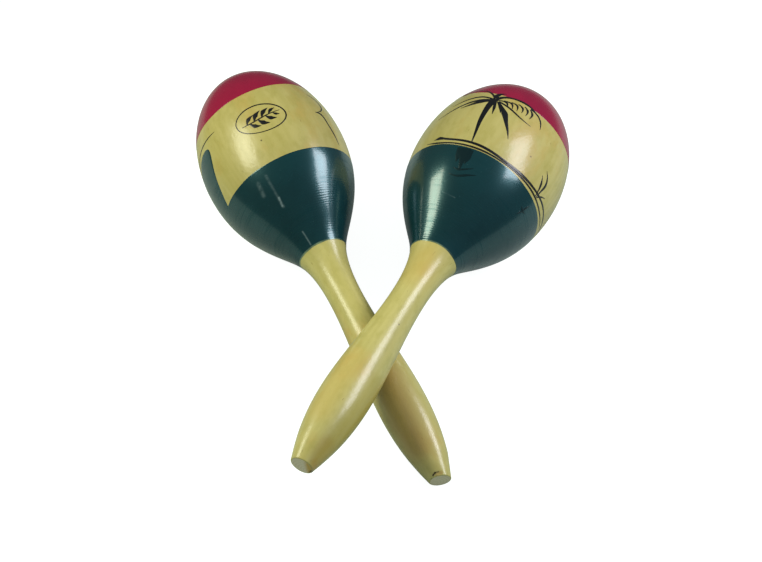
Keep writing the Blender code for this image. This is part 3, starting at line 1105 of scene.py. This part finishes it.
BROWN = (0.260, 0.135, 0.030)
TAN = (0.460, 0.280, 0.075)
RUST = (0.420, 0.250, 0.050)
AMBER = (0.580, 0.370, 0.060)
OCHRE = (0.420, 0.340, 0.060)
HONEY = (0.590, 0.440, 0.110)
DARK = (0.045, 0.022, 0.008)
GREEN = {"colour": (0.0055, 0.035, 0.04), "shade": (0.004, 0.0265, 0.03),
         "tint": (0.03, 0.08, 0.085), "gleam": (0.42, 0.92, 1.0), "coat": 0.7, "shine": 0.13}
RED = {"colour": (0.285, 0.0075, 0.036), "shade": (0.23, 0.006, 0.03),
       "tint": (0.38, 0.045, 0.085), "gleam": (0.8, 0.55, 1.0), "coat": 0.15, "shine": 0.12}

# Where each blank's grain starts and where its pith is, in metres.
BLANKS = {
    "left": {"handle": ((0.31, 0.17, 0.05), (0.022, 0.031, 0.1)),
             "band": ((0.73, 0.44, 0.02), (0.055, 0.03, 0.00)),
             "end": ((0.2, 0.4, 0.1), (0.0035, 0.002, 0.0))},
    "right": {"handle": ((0.12, 0.63, 0.35), (0.041, -0.02, 0.00)),
              "band": ((0.52, 0.21, 0.43), (-0.04, 0.052, 0.00)),
              "end": ((0.5, 0.1, 0.3), (-0.0025, 0.003, 0.0))},
}

# Marks are (millimetres along, degrees round) of both ends, the millimetres from that line where
# the mark starts to fade and where it has faded, its colour and its amount. Scuffs of the green
# lacquer, on the bowl, have no colour.
MARKS = {
    "left": {
        "handle": (((6, -60), (5, -20), 1, 5, BROWN, 0.12),
                   ((1.2, -24), (1.2, -4), 0.5, 1.5, TAN, 0.6),
                   ((0.9, -62), (0.7, -80), 0.3, 1.1, DARK, 0.6),
                   ((1.9, -44), (2.4, -30), 0.3, 0.75, DARK, 0.95),
                   ((2.4, -30), (2.2, -14), 0.15, 0.6, DARK, 0.7),
                   # Browner grip below the crossing: partly a brown tone of the wood, partly
                   # painted shadow of the other handle.
                   ((20, -40), (62, -25), 2, 16, TAN, 0.68)),
        "band": (((210.4, -18.8), (210.4, -18.8), 0.3, 0.65, DARK, 0.8),),
        "end": (),
        "bowl": (((192, -29.6), (175, -32), 0.05, 1.4, 0.34),
                 ((191, -29.8), (180, -31.4), 0.02, 0.5, 0.55),
                 ((179.5, -30.6), (175.4, -32.4), 0.1, 1, 0.85),
                 ((191, -39.2), (184.6, -41.8), 0.05, 1.9, 0.3),
                 ((160.8, -30.2), (153.8, -31.2), 0.05, 0.7, 0.5)),
    },
    "right": {
        "handle": (((2.5, 70), (2, 100), 1, 4, RUST, 0.7),
                   ((0.3, 104), (0.3, 118), 0.7, 1, DARK, 0.75),
                   ((4, 78), (13, 60), 1, 8, RUST, 0.7),
                   ((30, -20), (66, -14), 2, 13, HONEY, 0.45),
                   ((138, -6), (150, 0), 2, 16, HONEY, 0.45),
                   ((8, 70), (60, 84), 1, 12, OCHRE, 0.75),
                   ((101.3, 38.9), (101, 38.9), 0.25, 0.6, DARK, 0.6)),
        "band": (((222, 41), (222.4, 41.4), 0.25, 0.6, DARK, 0.6),),
        "end": (((0, 55), (0, 115), 1.4, 4.6, AMBER, 0.9),
                ((0.3, 106), (0.3, 124), 1.2, 1.8, DARK, 0.7)),
        "bowl": (((181, -12), (180, 4), 0.1, 0.5, 0.3),),
    },
}

# Chips at the butt, as dent() takes them.
CHIPS = {
    "left": (((1, -14), 2.2, 0.3), ((2.1, -34), 1, 0.25)),
    "right": (((0.4, 109), 1.4, 0.3),),
}


def build_maraca(frame, name, cap):
    """Turn one maraca, with its own materials and the cap's, and return where it lies."""
    maraca = Maraca(frame, name)
    blanks = BLANKS[name]
    marks = {part: placed(maraca, table) for part, table in MARKS[name].items()}
    wood = wood_material(name + "_handle_wood", *blanks["handle"], marks["handle"])
    handle = build_handle(maraca, wood, CHIPS[name])
    end = end_grain_material(name + "_sawn_end", *blanks["end"], marks["end"])
    mark_end_grain(handle, end)
    green = lacquer_material(name + "_green_lacquer", **GREEN, scuffs=marks["bowl"],
                             edge_highlight_at=BORDERS[name][0] * MM)
    build_bowl(maraca, green)
    band = wood_material(name + "_band_wood", *blanks["band"], marks["band"], BAND_WOOD)
    build_band(maraca, band)
    build_cap(maraca, cap)
    return maraca


def cover_seeds(frame):
    """Give the CAD seeds the look of dry seeds."""
    seed = seed_material()
    for name, node in frame["nodes"].items():
        if "_seed_" in name:
            node.data.materials.clear()
            node.data.materials.append(seed)


def main():
    """Build the looks of the pair around the frame."""
    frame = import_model()
    bpy.context.scene.view_settings.view_transform = "Standard"
    ink = ink_material("brushed_ink", (0.005, 0.006, 0.007), (0.03, 0.028, 0.022))
    wash = ink_material("brushed_ink_on_green", (0.0025, 0.012, 0.014),
                        (0.0045, 0.024, 0.028), GREEN["gleam"])
    cap = lacquer_material("red_lacquer", **RED)
    left = build_maraca(frame, "left", cap)
    right = build_maraca(frame, "right", cap)
    paint_left(left, ink, bpy.data.materials["left_green_lacquer"])
    paint_right(right, ink, wash)
    cover_seeds(frame)
    build_floor()
    for light in LIGHTS:
        add_light(*light)
    build_world()
    build_camera()


main()
